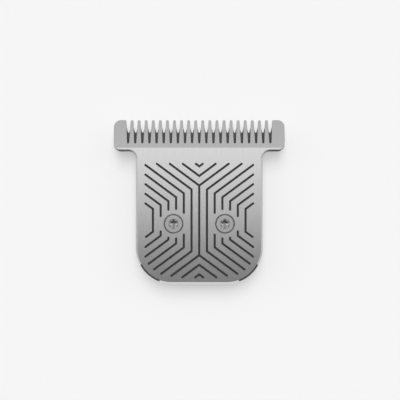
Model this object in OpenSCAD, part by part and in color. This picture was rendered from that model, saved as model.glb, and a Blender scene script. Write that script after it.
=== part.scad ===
// Trimmer blade module: a grooved T-shaped comb plate, the cutter that slides
// behind its teeth, and the bracket, yoke, spring and screws that carry them.
// The origin is midway between the two screw axes, on the bracket's rear seat.
// +Z points out of the grooved face and +Y points towards the teeth.

/* [Head] */
// Width of the T head over both arms
head_w = 40; // [36:0.5:50]
// Distance from the screw axes up to the tooth tips
tip_y = 24.3; // [22:0.1:29]
// Height of the head, from the arms' lower edge to the tooth tips
head_h = 7.38; // [7:0.01:9]
// Height of the flat strip between the arms' lower edge and the ground bevel
strip_h = 0.8; // [0.4:0.05:1.4]
// Thickness left at the tooth tips
tip_t = 0.35; // [0.25:0.05:0.6]
// Radius of the arms' upper outer corners
arm_top_r = 1.63; // [1:0.01:2]
// Radius of the arms' lower outer corners
arm_low_r = 1.6; // [1:0.05:2]
// Radius of the inside corners where the arms leave the body
neck_r = 1.75; // [1:0.05:2.5]

/* [Comb] */
// Number of teeth between the two end lugs
teeth = 20; // [14:1:24]
// Width of an end lug at the bottom of the slots
lug_w = 3.13; // [2.4:0.01:4]
// Depth of the slots below the tooth tips
slot_depth = 5.54; // [4.5:0.01:6]
// Radius of the round tooth tips
tooth_tip_r = 0.34; // [0.25:0.01:0.4]
// Radius of the round slot bottoms
slot_root_r = 0.26; // [0.2:0.01:0.35]
// Radius of the lugs' inner top corners
lug_corner_r = 0.3; // [0.2:0.05:0.6]

/* [Body] */
// Width of the plate's body
body_w = 29.6; // [25:0.1:34]
// Distance from the screw axes down to the body's lower edge
body_drop = 14.02; // [13:0.01:17]
// Radius of the body's lower corners
corner_r = 8.4; // [6:0.1:10]
// Thickness of the comb plate
plate_t = 2; // [1.6:0.1:2.6]
// Width of the chamfer along the front edge
edge_c = 0.4; // [0.2:0.05:0.6]

/* [Groove pattern] */
// Width of a groove
groove_w = 0.5; // [0.3:0.05:0.7]
// Diameter of the round groove ends, a hair wider where the tool turns back
groove_end_d = 0.51; // [0.31:0.01:0.8]
// Depth of a groove
groove_d = 0.35; // [0.15:0.05:0.6]
// Distance between neighbouring upright grooves
groove_pitch = 1.8; // [1.4:0.05:2.4]
// Number of upright grooves on each side of the middle one
groove_pairs = 6; // [3:1:6]
// Angle of the slanting grooves above the horizontal
groove_angle = 36.5; // [25:0.5:50]
// Drop from one groove's bend to the next one's
bend_step = 0.91; // [0.5:0.01:1.1]
// Half length of the middle upright groove
stem_h = 8.12; // [7:0.01:9]
// Height of the pattern's middle above the screw axes
pattern_y = 0.78; // [0:0.01:1.5]
// Bare margin between the groove ends and the body's sides
side_margin = 2.25; // [1.5:0.05:3]
// Bare margin between the groove ends and the arms' lower edge
top_margin = 2.95; // [2:0.05:4]
// Bare margin between the groove ends and the body's lower edge
low_margin = 1.5; // [1:0.05:2.5]
// Bare margin round a screw's countersink
screw_margin = 0.93; // [0.5:0.01:1.4]

/* [Screws] */
// Distance between the two screw axes
screw_gap = 12; // [10:0.1:14.5]
// Diameter of the countersink's mouth
sink_d = 4.65; // [4.4:0.05:5]
// Depth of the countersink's straight wall
sink_wall = 0.3; // [0.1:0.05:0.5]
// Diameter of the screw head
screw_head_d = 4.15; // [3.8:0.05:4.3]
// Depth of the screw head's top below the front face
head_sunk = 0.1; // [0:0.05:0.3]
// Outer diameter of the screw thread
thread_d = 2.44; // [2:0.01:2.5]
// Diameter of the clearance hole in the plate
clear_d = 2.8; // [2.6:0.05:3]
// Length of the screw with its head
screw_l = 5.9; // [5:0.1:6.5]
// Size of the six-lobe recess over its lobes
lobe_d = 2.25; // [1.8:0.05:2.4]
// Size of the six-lobe recess between its lobes
lobe_root_d = 1.62; // [1.3:0.02:1.8]
// Depth of the recess's straight walls
recess_d = 0.95; // [0.6:0.05:1.1]
// Radius of the flutes between the lobes
flute_r = 0.45; // [0.3:0.05:0.6]
// Border of the recess's chamfer outside the lobes
recess_c = 0.04; // [0.02:0.01:0.1]
// Chamfer round the screw head's rim
rim_c = 0.08; // [0.04:0.02:0.15]
// Chamfer at the screw's tip
tip_c = 0.3; // [0.1:0.05:0.4]

/* [Cutter] */
// Thickness of the cutter
cutter_t = 1; // [0.7:0.1:1.3]
// Distance that the cutter's tips stay behind the comb's tips
cutter_back = 0.7; // [0.4:0.1:1.2]
// Distance from the comb's tips back to the bottom of the cutter's gullets
gullet_back = 2.92; // [2.4:0.01:3.4]
// Radius of the gullet bottoms
gullet_r = 0.2; // [0.15:0.01:0.3]
// Radius of the cutter's tooth tips
cutter_tip_r = 0.18; // [0.12:0.01:0.24]
// Thickness left at the cutter's tips by its rear bevel
cutter_tip_t = 0.35; // [0.2:0.05:0.6]
// Clearance between the cutter's bar and the arms' lower edge
bar_cover = 0.55; // [0.3:0.05:1]
// Travel of the cutter to each side
travel = 1; // [0.8:0.05:1.2]
// Clearance beside the cutter's tail at the end of its travel
tail_gap = 0.5; // [0.3:0.05:1]
// Distance of the tail's lower edge above the yoke's
tail_step = 0.4; // [0:0.1:1]
// Radius of the tail's lower corners
tail_corner_r = 1; // [0.5:0.1:2]
// Radius of the fillets between the tail and the bar
tail_fillet_r = 1.5; // [0.5:0.1:2]
// Distance of the rear bevel's start above the bar's lower edge
rear_bevel_step = 1; // [0.5:0.1:2]

/* [Yoke] */
// Thickness of the yoke's slab
yoke_t = 2; // [1.6:0.1:2.4]
// Lower edge of the yoke above the screw axes
yoke_y = 6.5; // [6:0.1:7]
// Height of the yoke's slab along Y
yoke_h = 5.5; // [5:0.1:6.5]
// Width of the slot that takes the drive pin
fork_slot = 3; // [2.5:0.1:3.6]
// Thickness of a fork prong
prong_t = 1.4; // [1:0.1:1.8]
// Length of the fork prongs along Y
prong_h = 3.4; // [2.5:0.1:4]
// Lead-in chamfer inside the fork for the drive pin
prong_lead = 0.4; // [0.2:0.1:0.8]
// Height of the prongs' ends above the rear seat
prong_z = 0.8; // [0.3:0.1:1.2]
// Height of the pad below the prongs, where the spring presses
pad_h = 1.3; // [1:0.1:1.6]
// Step from the side of the cutter's tail in to the yoke's side
yoke_step = 1.5; // [1:0.1:2]
// Radius of the yoke's corners
yoke_corner_r = 0.8; // [0.4:0.1:1.5]
// Wall round the pockets in the yoke's rear
pocket_wall = 0.9; // [0.7:0.1:1.2]
// Depth of the pockets in the yoke's rear
pocket_d = 1; // [0.5:0.1:1.2]
// Diameter of the stakes that hold the cutter
stake_d = 1.9; // [1.4:0.1:2.4]
// Distance from the yoke's side to a stake's axis
stake_inset = 3; // [2:0.1:3.5]
// Depth of the stakes' ends below the cutter's sliding face
stake_sunk = 0.3; // [0.2:0.05:0.5]

/* [Bracket] */
// Height of the bracket, from its rear seat to the plate
bracket_h = 6; // [5.6:0.1:7]
// Height of the shoulder that meets the trimmer's housing
shoulder_z = 3; // [2.4:0.1:3.4]
// Inset of the bracket's edge from the plate's edge
bracket_inset = 0.95; // [0.6:0.05:1.5]
// Step from the bracket's edge in to its plug
plug_inset = 1.9; // [1.4:0.1:2.4]
// Wall of the plug
plug_wall = 1.3; // [1:0.1:1.6]
// Width of a side rail under the plate
rail_w = 2.8; // [2:0.1:3.2]
// Length of the side rails past the yoke's channel
rail_over = 0.4; // [0.2:0.1:0.8]
// Thickness of the bracket's floor
floor_t = 1.2; // [1:0.1:1.5]
// Diameter of a screw boss
boss_d = 6.4; // [6:0.1:7]
// Outer diameter of a threaded insert
insert_d = 3.8; // [3.4:0.1:4]
// Length of a threaded insert
insert_l = 3.6; // [3:0.1:3.9]
// Depth of the inserts below the plate
insert_sunk = 0.2; // [0.1:0.05:0.4]
// Depth of the waist between an insert's two bands
insert_waist = 0.25; // [0.15:0.05:0.4]
// Thickness of the ribs between the rear pockets
rib_t = 1; // [0.8:0.1:1.3]
// Thickness of the skin above the rear pockets
skin_t = 1.4; // [1:0.1:2]
// Depth of the snap grooves in the plug's sides
snap_r = 0.4; // [0.2:0.05:0.6]
// Length of the snap grooves
snap_l = 6; // [3:0.5:8]
// Width of the locating notch in the plug's lower end
notch_w = 3; // [2:0.5:5]
// Depth of the locating notch
notch_d = 0.7; // [0.4:0.1:1]

/* [Spring] */
// Diameter of the spring wire
wire_d = 0.6; // [0.4:0.05:0.7]
// Mean diameter of the coils
coil_d = 2.7; // [2.2:0.1:2.8]
// Turns of each coil
coil_turns = 3; // [2:1:3]
// Gap between neighbouring turns
turn_gap = 0.06; // [0.03:0.01:0.1]
// Clearance round the coils in their bay
bay_gap = 0.7; // [0.5:0.05:1]
// Clearance below the coils
coil_lift = 0.25; // [0.15:0.05:0.4]
// Distance from the coils down to the wire's bridge
bridge_gap = 0.95; // [0.7:0.05:1.2]
// Width of the hook over the bridge
hook_w = 3.2; // [2:0.1:4]

/* [Fits] */
// Running clearance of the yoke in its channel
run_gap = 0.1; // [0.05:0.01:0.2]
// Clearance of parts that are pressed or screwed together
seat_gap = 0.02; // [0.01:0.01:0.05]
// Clearance of parts that pass each other without a fit
free_gap = 0.3; // [0.2:0.05:0.5]
// Clearance of the spring on its pegs and under its hook
peg_gap = 0.2; // [0.1:0.05:0.3]
// Clearance between the spring's arms and the yoke's pad
press_gap = 0.05; // [0.03:0.01:0.1]

/* [Hidden] */
$fn = 48;
// Length by which a cut runs past its face, and by which fused blocks overlap
over = 1;
seam = 0.1;
// Colours
steel = [0.76, 0.76, 0.75];
dark_steel = [0.2, 0.2, 0.21];
black_plastic = [0.12, 0.12, 0.13];
wire_steel = [0.6, 0.6, 0.6];
brass = [0.8, 0.65, 0.35];

// Levels
rear_z = bracket_h;
front_z = rear_z + plate_t;
cutter_z = rear_z - cutter_t;
yoke_z = cutter_z - yoke_t;

// Comb plate
head_hw = head_w / 2;
body_hw = body_w / 2;
arm_y = tip_y - head_h;
crease_y = arm_y + strip_h;
bevel_angle = atan((plate_t - tip_t) / (tip_y - crease_y));
neck = min(neck_r, head_hw - body_hw - arm_low_r - seam);
corner_x = body_hw - corner_r;
corner_y = corner_r - body_drop;
slots = teeth + 1;
pitch = (head_w - 2 * lug_w - 2 * slot_root_r) / teeth;
root_y = tip_y - slot_depth + slot_root_r;
tooth_cy = tip_y - tooth_tip_r;
tooth_base = pitch / 2 - slot_root_r;
lug_x = head_hw - lug_w;
lug_top_x = lug_x + (pitch / 2 - tooth_tip_r) - slot_root_r;

// Groove pattern
groove_rise = tan(groove_angle);
line_step = bend_step + groove_rise * groove_pitch;
top_limit = arm_y - top_margin - pattern_y;
low_limit = body_drop - low_margin + pattern_y;
side_limit = body_hw - side_margin;
keep_out_r = sink_d / 2 + screw_margin + groove_w / 2;
limit_r = corner_r - (side_margin + low_margin) / 2;

// Screws and inserts
screw_x = screw_gap / 2;
cone_top = front_z - sink_wall;
screw_cone_z = cone_top - (sink_d - screw_head_d) / 2 + seat_gap;
screw_neck_z = screw_cone_z - (screw_head_d - thread_d) / 2;
screw_top = front_z - head_sunk;
screw_tip = screw_top - screw_l;
insert_top = rear_z - insert_sunk;
insert_low = insert_top - insert_l;

// Bracket
bracket_hw = body_hw - bracket_inset;
bracket_low = bracket_inset - body_drop;
bracket_r = corner_r - bracket_inset;
rail_x = bracket_hw - rail_w;
plug_hw = bracket_hw - plug_inset;
plug_low = bracket_low + plug_inset;
plug_r = bracket_r - plug_inset;

// Cutter and yoke
gullet_cy = tip_y - gullet_back + gullet_r;
cutter_cy = tip_y - cutter_back - cutter_tip_r;
cutter_base = pitch / 2 - gullet_r;
bar_y = arm_y + bar_cover;
bar_hw = slots * pitch / 2 + cutter_base;
tail_hw = rail_x - travel - tail_gap;
tail_y = yoke_y + tail_step;
rear_bevel_y = bar_y + rear_bevel_step;
rear_bevel_rise = cutter_t - cutter_tip_t;
rear_bevel_angle = atan(rear_bevel_rise / (tip_y - cutter_back - rear_bevel_y));
yoke_hw = tail_hw - yoke_step;
yoke_top = yoke_y + yoke_h;
stake_x = yoke_hw - stake_inset;
stake_y = yoke_y + yoke_h / 2;
stake_top = rear_z - stake_sunk;
prong_x = fork_slot / 2;
prong_out_x = prong_x + prong_t;
prong_y = yoke_y + pad_h;

// Yoke channel and window in the bracket
channel_hw = yoke_hw + travel + 2 * run_gap;
channel_low = yoke_y - run_gap;
channel_top = yoke_top + run_gap;
rail_top = channel_top + rail_over;
nose_y = channel_top + plug_wall + plug_inset;
ledge_z = cutter_z - free_gap;
window_x = prong_out_x + travel + free_gap;
window_low = prong_y - 2 * free_gap;
window_top = prong_y + prong_h + free_gap;

// Spring and its bay
wire_r = wire_d / 2;
coil_r = coil_d / 2;
wire_way_hw = wire_r + free_gap;
arm_x = screw_x - boss_d / 2 - 2 * wire_way_hw + free_gap;
coil_end_x = arm_x + coil_turns * (wire_d + turn_gap);
bay_hw = coil_end_x + wire_r + bay_gap;
bay_top = -boss_d / 2 - bay_gap;
coil_y = bay_top - bay_gap - wire_r - coil_r;
coil_z = floor_t + coil_lift + wire_r + coil_r;
bridge_y = coil_y - coil_r - wire_r - bridge_gap;
bridge_z = coil_z - coil_r;
bay_low = bridge_y - wire_r - free_gap;
hook_z = bridge_z + wire_r + peg_gap;
arm_tip_y = prong_y - 2 * free_gap;
arm_tip_z = yoke_z - press_gap - wire_r;
arm_run = [arm_tip_y - coil_y, arm_tip_z - coil_z];
arm_slope = atan2(arm_run.y, arm_run.x) + asin(coil_r / norm(arm_run));
bend_r = wire_d;
coil_steps = 18;
bend_steps = 4;
wire_sides = 10;

function unit(v) = v / norm(v);

// A block from its low corner to its high corner
module block(low, high) {
    translate(low)
        cube(high - low);
}

// A flat shape with round corners, from its low corner to its high corner
module round_rect(low, high, r) {
    translate([low.x + r, low.y])
        square([high.x - low.x - 2 * r, high.y - low.y]);
    translate([low.x, low.y + r])
        square([high.x - low.x, high.y - low.y - 2 * r]);
    for (x = [low.x + r, high.x - r], y = [low.y + r, high.y - r])
        translate([x, y])
            circle(r);
}

// The body's outline at any inset: square shoulders above, round corners below
module body_outline(hw, low, r, top) {
    translate([-hw, low + r])
        square([2 * hw, top - low - r]);
    translate([r - hw, low])
        square([2 * (hw - r), r]);
    for (side = [-1, 1])
        translate([side * (hw - r), low + r])
            circle(r);
}

// The full T outline before the slots are cut
module plate_outline() {
    body_outline(body_hw, -body_drop, corner_r, root_y);
    translate([-head_hw, arm_y + arm_low_r])
        square([head_w, root_y - arm_y - arm_low_r]);
    translate([arm_low_r - head_hw, arm_y])
        square([head_w - 2 * arm_low_r, arm_low_r]);
    for (side = [-1, 1]) {
        translate([side * (head_hw - arm_low_r), arm_y + arm_low_r])
            circle(arm_low_r);
        difference() {
            translate([side * (body_hw + neck / 2) - neck / 2, arm_y - neck])
                square(neck);
            translate([side * (body_hw + neck), arm_y - neck])
                circle(neck);
        }
    }
}

// One tooth of the comb, standing on the line through the slot bottoms
module comb_tooth() {
    polygon([
        [-tooth_base, root_y],
        [tooth_base, root_y],
        [tooth_tip_r, tooth_cy],
        [-tooth_tip_r, tooth_cy],
    ]);
    translate([0, tooth_cy])
        circle(tooth_tip_r);
}

// What rounds off a convex corner of radius r whose sides run back from the origin
module corner_waste(r) {
    difference() {
        translate([-r, -r])
            square(r + over);
        translate([-r, -r])
            circle(r);
    }
}

// The wide lug that closes the comb at its right end
module end_lug() {
    difference() {
        polygon([
            [lug_x, root_y],
            [head_hw, root_y],
            [head_hw, tip_y],
            [lug_top_x, tip_y],
            [lug_top_x, tooth_cy],
        ]);
        translate([head_hw, tip_y])
            corner_waste(arm_top_r);
        translate([lug_top_x, tip_y])
            mirror([1, 0])
                corner_waste(lug_corner_r);
    }
}

module comb_outline() {
    difference() {
        union() {
            plate_outline();
            for (i = [0 : teeth - 1])
                translate([(i - (teeth - 1) / 2) * pitch, 0])
                    comb_tooth();
            end_lug();
            mirror([1, 0])
                end_lug();
        }
        for (i = [0 : slots - 1])
            translate([(i - (slots - 1) / 2) * pitch, root_y])
                circle(slot_root_r);
    }
}

// Chamfer cutter for a straight front edge along +X from the origin
module straight_chamfer(length) {
    rotate([90, 0, 90])
        linear_extrude(length)
            polygon([[edge_c, 0], [-over, 0], [-over, -edge_c - over]]);
}

// Chamfer cutter for an outside corner of radius r
module corner_chamfer(r, from_angle) {
    rotate(from_angle)
        rotate_extrude(angle = 90)
            polygon([[r - edge_c, 0], [r + over, 0], [r + over, -edge_c - over]]);
}

// Chamfer cutter for the inside corner at the right neck
module neck_chamfer() {
    inner = max(neck - over, 0);
    rotate(90)
        rotate_extrude(angle = 90)
            polygon([
                [neck + edge_c, 0],
                [inner, 0],
                [inner, inner - neck - edge_c],
            ]);
}

// All chamfers of the right half, with the middle of the lower edge
module half_chamfers() {
    translate([-corner_x, -body_drop, 0])
        straight_chamfer(2 * corner_x);
    translate([corner_x, corner_y, 0])
        corner_chamfer(corner_r, 270);
    translate([body_hw, corner_y, 0])
        rotate(90)
            straight_chamfer(arm_y - neck - corner_y);
    translate([body_hw + neck, arm_y - neck, 0])
        neck_chamfer();
    translate([body_hw + neck, arm_y, 0])
        straight_chamfer(head_hw - arm_low_r - body_hw - neck);
    translate([head_hw - arm_low_r, arm_y + arm_low_r, 0])
        corner_chamfer(arm_low_r, 270);
    translate([head_hw, arm_y + arm_low_r, 0])
        rotate(90)
            straight_chamfer(2 * edge_c);
}

// Ends of the slanting grooves, measured from the pattern's middle
function low_arc_x(line_y) =
    let (
        cx = corner_x,
        cy = pattern_y - corner_y,
        k = 1 + groove_rise * groove_rise,
        b = cx + groove_rise * (cy - line_y),
        c = cx * cx + (cy - line_y) * (cy - line_y) - limit_r * limit_r,
        d = b * b - k * c
    )
    d > 0 ? (b + sqrt(d)) / k : side_limit;

function slant_end_x(line_y, limit_y) =
    min(side_limit, (limit_y - line_y) / groove_rise);

function turned(v) = [-v.y, v.x];

// Point on one edge of a line of constant width, mitred at its bends
function edge_point(points, i, side) =
    let (
        last = len(points) - 1,
        back = turned(unit(points[max(i, 1)] - points[max(i, 1) - 1])),
        ahead = turned(unit(points[min(i, last - 1) + 1] - points[min(i, last - 1)])),
        mitre = unit(back + ahead)
    )
    points[i] + side * groove_w / 2 / (mitre * back) * mitre;

// A line of constant width through the points, with round ends
module stroke(points) {
    last = len(points) - 1;
    polygon(concat(
        [for (i = [0 : last]) edge_point(points, i, 1)],
        [for (i = [last : -1 : 0]) edge_point(points, i, -1)]
    ));
    for (end = [points[0], points[last]])
        translate(end)
            circle(d = groove_end_d);
}

// Outer end of a slanting groove, above or below the pattern's middle
function slant_end(line_y, up) =
    let (
        limit_x = slant_end_x(line_y, up > 0 ? top_limit : low_limit),
        x = up > 0 ? limit_x : min(limit_x, low_arc_x(line_y))
    )
    [x, up * (line_y + groove_rise * x)];

// One bent groove of the right half, broken where a screw is in its way
module bent_groove(k) {
    x = k * groove_pitch;
    bend_y = stem_h - k * bend_step;
    line_y = stem_h - k * line_step;
    reach = abs(x - screw_x);
    ends = [for (up = [-1, 1]) slant_end(line_y, up)];
    if (reach >= keep_out_r)
        stroke([ends[0], [x, -bend_y], [x, bend_y], ends[1]]);
    else
        for (up = [0, 1]) {
            way = 2 * up - 1;
            stop_y = sqrt(keep_out_r * keep_out_r - reach * reach) - way * pattern_y;
            foot = stop_y < bend_y ? [[x, way * stop_y]] : [];
            stroke(concat(foot, [[x, way * bend_y], ends[up]]));
        }
}

// A bent groove across the middle line, with its point towards the stem
module chevron(k, up) {
    line_y = stem_h + k * line_step;
    end = slant_end(line_y, up);
    if (end.x > groove_w)
        stroke([[-end.x, end.y], [0, up * line_y], end]);
}

module groove_pattern() {
    translate([-groove_w / 2, -stem_h])
        square([groove_w, 2 * stem_h]);
    for (up = [-1, 1], k = [0 : 2])
        chevron(k, up);
    for (side = [0, 1])
        mirror([side, 0])
            for (k = [1 : groove_pairs])
                bent_groove(k);
}

// Countersunk hole, from above the front face to below the rear face
module screw_hole() {
    rotate_extrude()
        polygon([
            [0, front_z + over],
            [sink_d / 2, front_z + over],
            [sink_d / 2, cone_top],
            [clear_d / 2, cone_top - (sink_d - clear_d) / 2],
            [clear_d / 2, rear_z - over],
            [0, rear_z - over],
        ]);
}

module fixed_blade() {
    color(steel)
        difference() {
            translate([0, 0, rear_z])
                linear_extrude(plate_t)
                    comb_outline();
            translate([0, crease_y, front_z])
                rotate([-bevel_angle, 0, 0])
                    block([-head_w, 0, 0], [head_w, head_h * 2, plate_t * 2]);
            translate([0, 0, front_z]) {
                half_chamfers();
                mirror([1, 0, 0])
                    half_chamfers();
            }
            translate([0, pattern_y, front_z - groove_d])
                linear_extrude(groove_d + over)
                    groove_pattern();
            for (side = [-1, 1])
                translate([side * screw_x, 0, 0])
                    screw_hole();
        }
}

// One pointed tooth of the cutter
module cutter_tooth() {
    polygon([
        [-cutter_base, gullet_cy],
        [cutter_base, gullet_cy],
        [cutter_tip_r, cutter_cy],
        [-cutter_tip_r, cutter_cy],
    ]);
    translate([0, cutter_cy])
        circle(cutter_tip_r);
}

module cutter_outline() {
    fillet = tail_fillet_r;
    difference() {
        union() {
            translate([-bar_hw, bar_y])
                square([2 * bar_hw, gullet_cy - bar_y]);
            for (i = [-1 : teeth])
                translate([(i - (teeth - 1) / 2) * pitch, 0])
                    cutter_tooth();
            round_rect([-tail_hw, tail_y], [tail_hw, gullet_cy - over], tail_corner_r);
            for (side = [-1, 1])
                difference() {
                    translate([side * (tail_hw + fillet / 2) - fillet / 2, bar_y - fillet])
                        square(fillet);
                    translate([side * (tail_hw + fillet), bar_y - fillet])
                        circle(fillet);
                }
        }
        for (i = [0 : slots - 1])
            translate([(i - (slots - 1) / 2) * pitch, gullet_cy])
                circle(gullet_r);
    }
}

module cutter_blade() {
    color(dark_steel)
        difference() {
            translate([0, 0, cutter_z])
                linear_extrude(cutter_t)
                    cutter_outline();
            translate([0, rear_bevel_y, cutter_z])
                rotate([rear_bevel_angle, 0, 0])
                    block([-head_w, 0, -2 * cutter_t], [head_w, head_h * 2, 0]);
            for (side = [-1, 1])
                translate([side * stake_x, stake_y, cutter_z - over])
                    cylinder(h = cutter_t + 2 * over, d = stake_d + 2 * seat_gap);
        }
}

// One fork prong on the right, with a lead-in for the drive pin
module fork_prong() {
    root_z = yoke_z + seam;
    translate([0, prong_y + prong_h, 0])
        rotate([90, 0, 0])
            linear_extrude(prong_h)
                polygon([
                    [prong_x, root_z],
                    [prong_x, prong_z + prong_lead],
                    [prong_x + prong_lead, prong_z],
                    [prong_out_x, prong_z],
                    [prong_out_x, root_z],
                ]);
}

// One pocket in the yoke's rear on the right, above the spring's pad
module yoke_pocket() {
    low = [prong_out_x + pocket_wall, prong_y];
    high = [yoke_hw - pocket_wall, yoke_top - pocket_wall];
    translate([0, 0, yoke_z - over])
        linear_extrude(pocket_d + over)
            round_rect(low, high, yoke_corner_r / 2);
}

module drive_yoke() {
    stake_low = yoke_z + pocket_d;
    color(black_plastic)
        difference() {
            union() {
                translate([0, 0, yoke_z])
                    linear_extrude(yoke_t)
                        round_rect([-yoke_hw, yoke_y], [yoke_hw, yoke_top], yoke_corner_r);
                for (side = [-1, 1])
                    translate([side * stake_x, stake_y, stake_low])
                        cylinder(h = stake_top - stake_low, d = stake_d);
                fork_prong();
                mirror([1, 0, 0])
                    fork_prong();
            }
            yoke_pocket();
            mirror([1, 0, 0])
                yoke_pocket();
        }
}

// Route of the wire's right half: the arm, the coil and half of the bridge.
// The arm leaves the underside of the coil along its tangent.
function coil_point(x, angle) =
    [x, coil_y + coil_r * sin(angle), coil_z - coil_r * cos(angle)];

function half_route() = concat(
    [[arm_x, arm_tip_y, arm_tip_z]],
    [
        for (i = [0 : coil_steps * coil_turns])
            let (t = i / (coil_steps * coil_turns))
            coil_point(
                arm_x + t * (coil_end_x - arm_x),
                arm_slope * (1 - t) - 360 * coil_turns * t
            )
    ],
    [
        for (i = [0 : bend_steps])
            let (a = 90 * i / bend_steps)
            [coil_end_x - bend_r * (1 - cos(a)), bridge_y + bend_r * (1 - sin(a)), bridge_z]
    ]
);

function mirrored(points) =
    [for (i = [len(points) - 1 : -1 : 0]) [-points[i].x, points[i].y, points[i].z]];

// Direction of the wire at a point of its route
function wire_way(route, i) =
    unit(route[min(i + 1, len(route) - 1)] - route[max(i - 1, 0)]);

function square_to(v, way) = unit(v - (v * way) * way);

// A normal that is carried along the route without twisting
function wire_normals(route) = [
    for (
        i = 0, n = [1, 0, 0];
        i < len(route);
        n = square_to(n, wire_way(route, min(i + 1, len(route) - 1))), i = i + 1
    )
        n
];

module wire(route) {
    normals = wire_normals(route);
    rings = len(route);
    points = [
        for (i = [0 : rings - 1])
            let (way = wire_way(route, i), n = square_to(normals[i], way), b = cross(way, n))
            for (s = [0 : wire_sides - 1])
                let (a = 360 * s / wire_sides)
                route[i] + wire_r * (cos(a) * n + sin(a) * b)
    ];
    walls = [
        for (i = [0 : rings - 2], s = [0 : wire_sides - 1])
            let (t = (s + 1) % wire_sides, low = i * wire_sides, high = low + wire_sides)
            [low + s, high + s, high + t, low + t]
    ];
    first_cap = [for (s = [0 : wire_sides - 1]) s];
    last_cap = [for (s = [wire_sides - 1 : -1 : 0]) (rings - 1) * wire_sides + s];
    polyhedron(points, concat(walls, [first_cap, last_cap]), convexity = 6);
}

module tension_spring() {
    color(wire_steel)
        wire(concat(half_route(), mirrored(half_route())));
}

// The hollows of the bracket that open towards the plate
module front_hollows() {
    top = rear_z + over;
    block([-channel_hw, channel_low, floor_t], [channel_hw, channel_top, top]);
    block([-rail_x, channel_low, ledge_z], [rail_x, rail_top + over, top]);
    block([-head_w, rail_top, ledge_z], [head_w, nose_y + over, top]);
    translate([0, 0, floor_t])
        linear_extrude(rear_z)
            round_rect([-bay_hw, bay_low], [bay_hw, bay_top], bend_r);
    for (side = [-1, 1])
        translate([side * arm_x, 0, 0])
            block(
                [-wire_way_hw, bay_top - seam, floor_t],
                [wire_way_hw, channel_low + seam, top]
            );
}

// The pockets on the right that open at the rear seat, between the ribs
module rear_pockets() {
    inner_hw = plug_hw - plug_wall;
    inner_low = plug_low + plug_wall;
    low_x = bay_hw + rib_t;
    high_x = arm_x + wire_way_hw + rib_t;
    rib_y = (bay_top + inner_low) / 2;
    translate([0, 0, -over])
        linear_extrude(rear_z - skin_t + over)
            intersection() {
                union() {
                    translate([low_x, inner_low])
                        square([inner_hw - low_x, rib_y - rib_t / 2 - inner_low]);
                    translate([low_x, rib_y + rib_t / 2])
                        square([inner_hw - low_x, bay_top - rib_y - rib_t / 2]);
                    translate([high_x, -bay_top])
                        square([inner_hw - high_x, channel_low - rib_t + bay_top]);
                }
                body_outline(inner_hw, inner_low, plug_r - plug_wall, channel_low);
            }
}

// Hole for one screw: the insert's seat and room for the screw's tip
module boss_hole() {
    translate([0, 0, insert_low - seat_gap])
        cylinder(h = rear_z, d = insert_d + 2 * seat_gap);
    translate([0, 0, floor_t])
        cylinder(h = rear_z, d = thread_d + 2 * free_gap);
}

// Pegs that carry the coils, and the hook over the wire's bridge
module spring_seat() {
    for (side = [-1, 1])
        translate([side * (arm_x + wire_r), coil_y, coil_z])
            rotate([0, side * 90, 0])
                cylinder(h = bay_hw - arm_x, r = coil_r - wire_r - peg_gap);
    block(
        [-hook_w / 2, bay_low - seam, hook_z],
        [hook_w / 2, bridge_y + wire_r, hook_z + rib_t]
    );
}

// Grooves that the housing's catches snap into
module snap_grooves() {
    for (side = [-1, 1])
        translate([side * plug_hw, -snap_l / 2, shoulder_z / 2])
            rotate([-90, 0, 0])
                cylinder(h = snap_l, r = snap_r);
}

module rear_bracket() {
    color(black_plastic) {
        difference() {
            union() {
                linear_extrude(shoulder_z + seam)
                    body_outline(plug_hw, plug_low, plug_r, nose_y - plug_inset);
                translate([0, 0, shoulder_z])
                    linear_extrude(rear_z - shoulder_z)
                        body_outline(bracket_hw, bracket_low, bracket_r, nose_y);
            }
            snap_grooves();
            front_hollows();
            rear_pockets();
            mirror([1, 0, 0])
                rear_pockets();
            for (side = [-1, 1])
                translate([side * screw_x, 0, 0])
                    boss_hole();
            block([-window_x, window_low, -over], [window_x, window_top, floor_t + over]);
            block(
                [-notch_w / 2, plug_low - over, -over],
                [notch_w / 2, plug_low + notch_d, shoulder_z]
            );
        }
        spring_seat();
    }
}

// Six-lobe outline of the driver recess
module lobes() {
    difference() {
        circle(d = lobe_d);
        for (i = [0 : 5])
            rotate(30 + 60 * i)
                translate([lobe_root_d / 2 + flute_r, 0])
                    circle(flute_r);
    }
}

// Countersunk screw with a chamfered six-lobe recess and a conical recess floor
module screw() {
    mouth_r = lobe_d / 2 + recess_c;
    floor_r = lobe_root_d / 2 - recess_c;
    color(steel)
        difference() {
            rotate_extrude()
                polygon([
                    [0, screw_tip],
                    [thread_d / 2 - tip_c, screw_tip],
                    [thread_d / 2, screw_tip + tip_c],
                    [thread_d / 2, screw_neck_z],
                    [screw_head_d / 2, screw_cone_z],
                    [screw_head_d / 2, screw_top - rim_c],
                    [screw_head_d / 2 - rim_c, screw_top],
                    [0, screw_top],
                ]);
            translate([0, 0, screw_top - recess_d])
                linear_extrude(recess_d + over)
                    lobes();
            translate([0, 0, screw_top])
                rotate_extrude()
                    polygon([[0, over], [mouth_r + over, over], [0, -mouth_r]]);
            translate([0, 0, screw_top - recess_d])
                rotate_extrude()
                    polygon([[0, seam], [floor_r, seam], [floor_r, 0], [0, -floor_r / 2]]);
        }
}

module screw_left() {
    translate([-screw_x, 0, 0])
        screw();
}

module screw_right() {
    translate([screw_x, 0, 0])
        screw();
}

// Brass insert with two bands and a waist
module insert() {
    bore_r = thread_d / 2 + seat_gap;
    band_r = insert_d / 2;
    waist_r = band_r - insert_waist;
    band = insert_l / 3;
    color(brass)
        rotate_extrude()
            polygon([
                [bore_r, insert_low],
                [band_r, insert_low],
                [band_r, insert_low + band],
                [waist_r, insert_low + band + insert_waist],
                [waist_r, insert_top - band - insert_waist],
                [band_r, insert_top - band],
                [band_r, insert_top],
                [bore_r, insert_top],
            ]);
}

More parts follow.
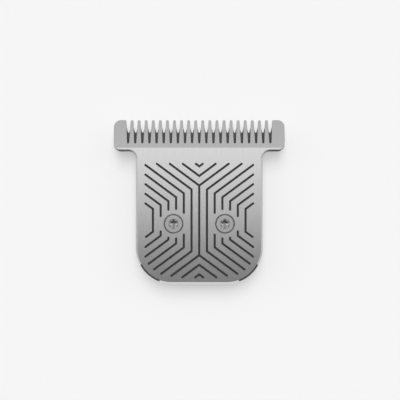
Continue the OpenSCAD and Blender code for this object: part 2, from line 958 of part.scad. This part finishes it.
module insert_left() {
    translate([-screw_x, 0, 0])
        insert();
}

module insert_right() {
    translate([screw_x, 0, 0])
        insert();
}

fixed_blade();
cutter_blade();
drive_yoke();
tension_spring();
rear_bracket();
screw_left();
screw_right();
insert_left();
insert_right();
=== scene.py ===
import math

import bmesh
import bpy
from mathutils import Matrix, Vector


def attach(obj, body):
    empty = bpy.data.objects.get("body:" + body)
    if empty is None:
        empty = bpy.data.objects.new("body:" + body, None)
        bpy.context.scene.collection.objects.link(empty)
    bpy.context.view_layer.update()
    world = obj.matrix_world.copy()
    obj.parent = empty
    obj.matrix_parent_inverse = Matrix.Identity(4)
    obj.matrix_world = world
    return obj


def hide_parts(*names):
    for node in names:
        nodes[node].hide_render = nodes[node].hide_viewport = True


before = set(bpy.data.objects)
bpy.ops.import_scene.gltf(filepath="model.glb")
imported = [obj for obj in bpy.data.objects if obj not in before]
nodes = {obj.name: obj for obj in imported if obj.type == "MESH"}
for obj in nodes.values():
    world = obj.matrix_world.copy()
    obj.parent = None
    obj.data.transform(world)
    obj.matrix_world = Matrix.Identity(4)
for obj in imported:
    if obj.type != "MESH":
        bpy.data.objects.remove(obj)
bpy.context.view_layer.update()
mm = 0.001
print("frame loaded:", ", ".join(sorted(nodes)))


# A material's node tree is written through these three
def addNode(tree, kind, settings=None, values=None):
    node = tree.nodes.new(kind)
    for name, value in (settings or {}).items():
        setattr(node, name, value)
    for name, value in (values or {}).items():
        node.inputs[name].default_value = value
    return node


def link(tree, source, output, target, socket):
    tree.links.new(source.outputs[output], target.inputs[socket])


def setRamp(node, stops):
    elements = node.color_ramp.elements
    while len(elements) < len(stops):
        elements.new(1.0)
    for element, (position, grey) in zip(elements, stops):
        element.position = position
        element.color = (grey, grey, grey, 1) if isinstance(grey, float) else (*grey, 1)


def newMaterial(name):
    material = bpy.data.materials.new(name)
    material.use_nodes = True
    tree = material.node_tree
    tree.nodes.clear()
    shader = addNode(tree, "ShaderNodeBsdfPrincipled")
    output = addNode(tree, "ShaderNodeOutputMaterial")
    link(tree, shader, "BSDF", output, "Surface")
    return material, tree, shader


# Noise on Object coordinates, stretched by its scale along each axis
def addNoise(tree, scale, detail, roughness=0.5, turn=(0, 0, 0)):
    coords = addNode(tree, "ShaderNodeTexCoord")
    mapping = addNode(tree, "ShaderNodeMapping", values={"Scale": scale, "Rotation": turn})
    noise = addNode(
        tree, "ShaderNodeTexNoise", values={"Scale": 1.0, "Detail": detail, "Roughness": roughness}
    )
    link(tree, coords, "Object", mapping, "Vector")
    link(tree, mapping, "Vector", noise, "Vector")
    return noise


def addRamp(tree, noise, low, high, socket, shader, lowAt=0.3, highAt=0.7):
    ramp = addNode(tree, "ShaderNodeValToRGB")
    setRamp(ramp, [(lowAt, low), (highAt, high)])
    link(tree, noise, "Fac", ramp, "Fac")
    link(tree, ramp, "Color", shader, socket)
    return ramp


def addBump(tree, noise, distance, strength, shader):
    bump = addNode(
        tree, "ShaderNodeBump", values={"Distance": distance, "Strength": strength}
    )
    link(tree, noise, "Fac", bump, "Height")
    link(tree, bump, "Normal", shader, "Normal")


# Brushed steel of the comb plate: streaks along Y, blurred across them
plateFinish = {
    "lowGrey": 0.70,
    "highGrey": 0.78,
    "roughness": 0.2,
    "anisotropy": 0.8,
    "streaks": (9000, 260, 9000),
    "streakHeight": 0.000002,
}


def brushedSteel():
    f = plateFinish
    material, tree, shader = newMaterial("brushedSteel")
    shader.inputs["Metallic"].default_value = 1.0
    shader.inputs["Roughness"].default_value = f["roughness"]
    shader.inputs["Anisotropic"].default_value = f["anisotropy"]
    noise = addNoise(tree, f["streaks"], 4, 0.6)
    addRamp(tree, noise, f["lowGrey"], f["highGrey"], "Base Color", shader)
    addBump(tree, noise, f["streakHeight"], 0.4, shader)
    along = addNode(tree, "ShaderNodeCombineXYZ", values={"X": 1.0, "Y": 0.0, "Z": 0.0})
    link(tree, along, "Vector", shader, "Tangent")
    return material


# The plate's upright walls, coloured darker than the brushed faces: painted shade for the dark slot
# flanks and side walls
wallShadeFinish = {"lowGrey": 0.16, "highGrey": 0.22, "roughness": 0.4}


def shadedWallSteel():
    f = wallShadeFinish
    material, tree, shader = newMaterial("shadedWallSteel")
    shader.inputs["Metallic"].default_value = 1.0
    shader.inputs["Roughness"].default_value = f["roughness"]
    noise = addNoise(tree, (4000, 4000, 900), 3)
    addRamp(tree, noise, f["lowGrey"], f["highGrey"], "Base Color", shader)
    addBump(tree, noise, 0.000003, 0.4, shader)
    return material


# The groove floors and walls, coloured near-black, far darker than the brushed face
grooveFinish = {"lowGrey": 0.035, "highGrey": 0.06, "roughness": 0.5}


def darkGrooveSteel():
    f = grooveFinish
    material, tree, shader = newMaterial("darkGrooveSteel")
    shader.inputs["Metallic"].default_value = 0.3
    shader.inputs["Roughness"].default_value = f["roughness"]
    noise = addNoise(tree, (6000, 6000, 6000), 3)
    addRamp(tree, noise, f["lowGrey"], f["highGrey"], "Base Color", shader)
    addBump(tree, noise, 0.000004, 0.5, shader)
    return material


cutterFinish = {"lowGrey": 0.045, "highGrey": 0.06, "roughness": 0.32, "coat": 0.3}


def coatedSteel():
    f = cutterFinish
    material, tree, shader = newMaterial("coatedSteel")
    shader.inputs["Metallic"].default_value = 0.0
    shader.inputs["Roughness"].default_value = f["roughness"]
    shader.inputs["Coat Weight"].default_value = f["coat"]
    noise = addNoise(tree, (5000, 500, 5000), 3)
    addRamp(tree, noise, f["lowGrey"], f["highGrey"], "Base Color", shader)
    addBump(tree, noise, 0.000003, 0.4, shader)
    return material


plasticFinish = {"lowGrey": 0.03, "highGrey": 0.045, "roughness": 0.55, "grain": 5000}


def mouldedPlastic():
    f = plasticFinish
    material, tree, shader = newMaterial("mouldedPlastic")
    shader.inputs["Roughness"].default_value = f["roughness"]
    noise = addNoise(tree, (f["grain"],) * 3, 4)
    addRamp(tree, noise, f["lowGrey"], f["highGrey"], "Base Color", shader)
    addBump(tree, noise, 0.00001, 0.35, shader)
    return material


screwFinish = {"lowGrey": 0.62, "highGrey": 0.74, "roughness": 0.26}


def turnedSteel():
    f = screwFinish
    material, tree, shader = newMaterial("turnedSteel")
    shader.inputs["Metallic"].default_value = 1.0
    shader.inputs["Roughness"].default_value = f["roughness"]
    noise = addNoise(tree, (4000, 4000, 4000), 3)
    addRamp(tree, noise, f["lowGrey"], f["highGrey"], "Base Color", shader)
    addBump(tree, noise, 0.000002, 0.4, shader)
    return material


def drawnWire():
    material, tree, shader = newMaterial("drawnWire")
    shader.inputs["Metallic"].default_value = 1.0
    shader.inputs["Roughness"].default_value = 0.3
    noise = addNoise(tree, (3000, 3000, 3000), 2)
    addRamp(tree, noise, 0.5, 0.62, "Base Color", shader)
    return material


def turnedBrass():
    material, tree, shader = newMaterial("turnedBrass")
    shader.inputs["Metallic"].default_value = 1.0
    shader.inputs["Roughness"].default_value = 0.28
    noise = addNoise(tree, (3000, 3000, 3000), 2)
    addRamp(tree, noise, (0.72, 0.52, 0.24), (0.82, 0.62, 0.32), "Base Color", shader)
    return material


steel = brushedSteel()
grooveDark = darkGrooveSteel()
wallShade = shadedWallSteel()
coated = coatedSteel()
plastic = mouldedPlastic()
turned = turnedSteel()
wire = drawnWire()
brass = turnedBrass()
print("materials made:", len(bpy.data.materials))


# A merged copy of a CAD node with its sharp edges broken, to stand for the node.
# breakOf gives the width that an edge is broken to, or 0 to leave it.
def finishedCopy(nodeName, pieceName, body, breakOf, widest, materials):
    bm = bmesh.new()
    bm.from_mesh(nodes[nodeName].data)
    bmesh.ops.remove_doubles(bm, verts=bm.verts, dist=0.001 * mm)
    bmesh.ops.dissolve_limit(
        bm,
        angle_limit=math.radians(0.5),
        use_dissolve_boundaries=False,
        verts=bm.verts,
        edges=bm.edges,
        delimit={"NORMAL"},
    )
    weights = bm.edges.layers.float.new("bevel_weight_edge")
    for edge in bm.edges:
        angle = edge.calc_face_angle() if len(edge.link_faces) == 2 else 0
        width = breakOf(edge, angle)
        edge[weights] = width / widest
        edge.smooth = angle < 0.36 and width == 0
    for face in bm.faces:
        face.smooth = True
    mesh = bpy.data.meshes.new(pieceName)
    bm.to_mesh(mesh)
    bm.free()
    piece = bpy.data.objects.new(pieceName, mesh)
    bpy.context.scene.collection.objects.link(piece)
    for material in materials:
        mesh.materials.append(material)
    bevel = piece.modifiers.new("brokenEdges", "BEVEL")
    bevel.limit_method = "WEIGHT"
    bevel.width = widest
    bevel.segments = 2
    bevel.harden_normals = True
    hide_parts(nodeName)
    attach(piece, body)
    return piece


plateShape = {
    "frontZ": 8 * mm,
    "creaseY": 17.72 * mm,
    "grooveDepth": 0.35 * mm,
    "patternHalfWidth": 13.5 * mm,
    "patternLow": -13.2 * mm,
    "patternHigh": 14.5 * mm,
    "screwX": 6 * mm,
    "sinkRadius": 2.33 * mm,
    "creaseBreak": 0.16 * mm,
    "combBreak": 0.1 * mm,
    "edgeBreak": 0.05 * mm,
}


# The crease of the ground bevel is rounded most, then the comb's upper edges
def plateBreak(edge, angle):
    s = plateShape
    middle = (edge.verts[0].co + edge.verts[1].co) / 2
    if angle < 0.1:
        return 0
    if angle < 0.36:
        flat = all(face.normal.z > 0.95 for face in edge.link_faces)
        return s["creaseBreak"] if flat else 0
    front = any(face.normal.z > 0.9 for face in edge.link_faces)
    if front and middle.y > s["creaseY"] and angle > 0.9:
        return s["combBreak"]
    return s["edgeBreak"]


# Faces below the front, inside the pattern and outside the countersinks, are the grooves
def markPlateFaces(plate):
    s = plateShape
    for face in plate.data.polygons:
        x, y, z = face.center
        inPattern = abs(x) < s["patternHalfWidth"] and s["patternLow"] < y < s["patternHigh"]
        inGroove = s["frontZ"] - s["grooveDepth"] * 1.2 < z < s["frontZ"] - 0.09 * mm
        fromScrew = math.hypot(abs(x) - s["screwX"], y)
        if inPattern and inGroove and fromScrew > s["sinkRadius"] + 0.2 * mm:
            face.material_index = 1
        # The other upright faces take the wall material, whose dark colour is painted shade
        elif abs(face.normal.z) < 0.2:
            face.material_index = 2


plate = finishedCopy(
    "fixed_blade", "combPlate", "holder",
    plateBreak, plateShape["creaseBreak"], [steel, grooveDark, wallShade],
)
markPlateFaces(plate)
print("comb plate:", len(plate.data.polygons), "faces")

cadFinishes = {
    "cutter_blade": ("cutter_steel", coated),
    "drive_yoke": ("yoke_plastic", plastic),
    "tension_spring": ("spring_wire", wire),
    "rear_bracket": ("bracket_plastic", plastic),
    "screw_left": ("screw_steel", turned),
    "screw_right": ("screw_steel", turned),
    "insert_left": ("insert_brass", brass),
    "insert_right": ("insert_brass", brass),
}
for nodeName, (slotName, material) in cadFinishes.items():
    node = nodes[nodeName]
    node.data.materials.clear()
    node.data.materials.append(material)

# The floor, the lamps and the sky. Part of the floor's paleness is its own, so that the
# object's shadow on it stays soft.
floorLook = {"half": 1.5, "grey": 0.5, "glow": 0.42}


def makeFloor():
    bm = bmesh.new()
    bmesh.ops.create_grid(bm, x_segments=1, y_segments=1, size=floorLook["half"])
    mesh = bpy.data.meshes.new("floor")
    bm.to_mesh(mesh)
    bm.free()
    floor = bpy.data.objects.new("floor", mesh)
    bpy.context.scene.collection.objects.link(floor)
    material, tree, shader = newMaterial("paleFloor")
    grey = floorLook["grey"]
    shader.inputs["Base Color"].default_value = (grey, grey, grey, 1)
    shader.inputs["Roughness"].default_value = 1.0
    shader.inputs["Specular IOR Level"].default_value = 0.0
    rays = addNode(tree, "ShaderNodeLightPath")
    seen = None
    for kind in ("Is Camera Ray", "Is Glossy Ray", "Is Transmission Ray"):
        if seen is None:
            seen = (rays, kind)
            continue
        either = addNode(tree, "ShaderNodeMath", {"operation": "MAXIMUM"})
        tree.links.new(seen[0].outputs[seen[1]], either.inputs[0])
        tree.links.new(rays.outputs[kind], either.inputs[1])
        seen = (either, "Value")
    glow = addNode(tree, "ShaderNodeMath", {"operation": "MULTIPLY"})
    tree.links.new(seen[0].outputs[seen[1]], glow.inputs[0])
    glow.inputs[1].default_value = floorLook["glow"]
    shader.inputs["Emission Color"].default_value = (1, 1, 1, 1)
    link(tree, glow, "Value", shader, "Emission Strength")
    mesh.materials.append(material)


skyLook = {
    # Brightness by the sine of the angle towards +Y
    "byY": [
        (-1.0, 0.03), (-0.3, 0.06), (-0.12, 0.15), (-0.078, 0.211), (-0.068, 0.223),
        (-0.0543, 0.286), (-0.0467, 0.338), (-0.0389, 0.395), (-0.0311, 0.458),
        (-0.0233, 0.518), (-0.0156, 0.576), (-0.0078, 0.616), (0.0, 0.676), (0.0097, 0.763),
        (0.0194, 0.816), (0.0292, 0.88), (0.0388, 0.938), (0.0466, 0.986), (0.08, 1.05),
        (0.25, 1.05), (0.47, 0.66), (0.7, 0.4), (1.0, 0.25),
    ],
    # Share of it that is left near the horizon, and the heights between which it fades
    "horizon": 0.45,
    "fadeFrom": 0.2,
    "fadeTo": 0.8,
}


def makeSky():
    world = bpy.data.worlds.new("studio")
    bpy.context.scene.world = world
    world.use_nodes = True
    tree = world.node_tree
    tree.nodes.clear()
    coords = addNode(tree, "ShaderNodeTexCoord")
    split = addNode(tree, "ShaderNodeSeparateXYZ")
    link(tree, coords, "Generated", split, "Vector")
    toUnit = addNode(
        tree, "ShaderNodeMapRange",
        values={"From Min": -1.0, "From Max": 1.0, "To Min": 0.0, "To Max": 1.0},
    )
    link(tree, split, "Y", toUnit, "Value")
    ramp = addNode(tree, "ShaderNodeValToRGB")
    peak = max(value for _, value in skyLook["byY"])
    setRamp(ramp, [((y + 1) / 2, value / peak) for y, value in skyLook["byY"]])
    link(tree, toUnit, "Result", ramp, "Fac")
    fade = addNode(
        tree, "ShaderNodeMapRange", {"interpolation_type": "SMOOTHSTEP"},
        {
            "From Min": skyLook["fadeFrom"], "From Max": skyLook["fadeTo"],
            "To Min": skyLook["horizon"] * peak, "To Max": peak,
        },
    )
    link(tree, split, "Z", fade, "Value")
    studio = addNode(tree, "ShaderNodeBackground")
    link(tree, ramp, "Color", studio, "Color")
    link(tree, fade, "Result", studio, "Strength")
    output = addNode(tree, "ShaderNodeOutputWorld")
    link(tree, studio, "Background", output, "Surface")


# Tilt towards +Y and size across, both in degrees
lampLook = {
    "high": {"strength": 1.2, "tilt": 8, "size": 22},
    "low": {"strength": 0.9, "tilt": 26, "size": 24},
}


def makeLamps():
    for name, look in lampLook.items():
        lamp = bpy.data.lights.new(name, "SUN")
        lamp.energy = look["strength"]
        lamp.angle = math.radians(look["size"])
        source = bpy.data.objects.new(name, lamp)
        tilt = math.radians(look["tilt"])
        source.rotation_mode = "QUATERNION"
        source.rotation_quaternion = Vector((0, math.sin(tilt), math.cos(tilt))).to_track_quat("Z", "Y")
        source.visible_glossy = False
        bpy.context.scene.collection.objects.link(source)


cameraPlace = {"x": 0.175 * mm, "y": 5.54 * mm, "z": 248 * mm, "frameWidth": 93.3 * mm}


def makeCamera():
    data = bpy.data.cameras.new("camera")
    distance = cameraPlace["z"] - 8 * mm
    data.sensor_width = 36
    data.lens = 36 * distance / cameraPlace["frameWidth"]
    data.clip_start = 0.01
    data.clip_end = 10
    camera = bpy.data.objects.new("camera", data)
    camera.location = (cameraPlace["x"], cameraPlace["y"], cameraPlace["z"])
    bpy.context.scene.collection.objects.link(camera)
    bpy.context.scene.camera = camera


makeFloor()
makeSky()
makeLamps()
makeCamera()
bpy.context.scene.view_settings.view_transform = "Standard"
print("stage made")
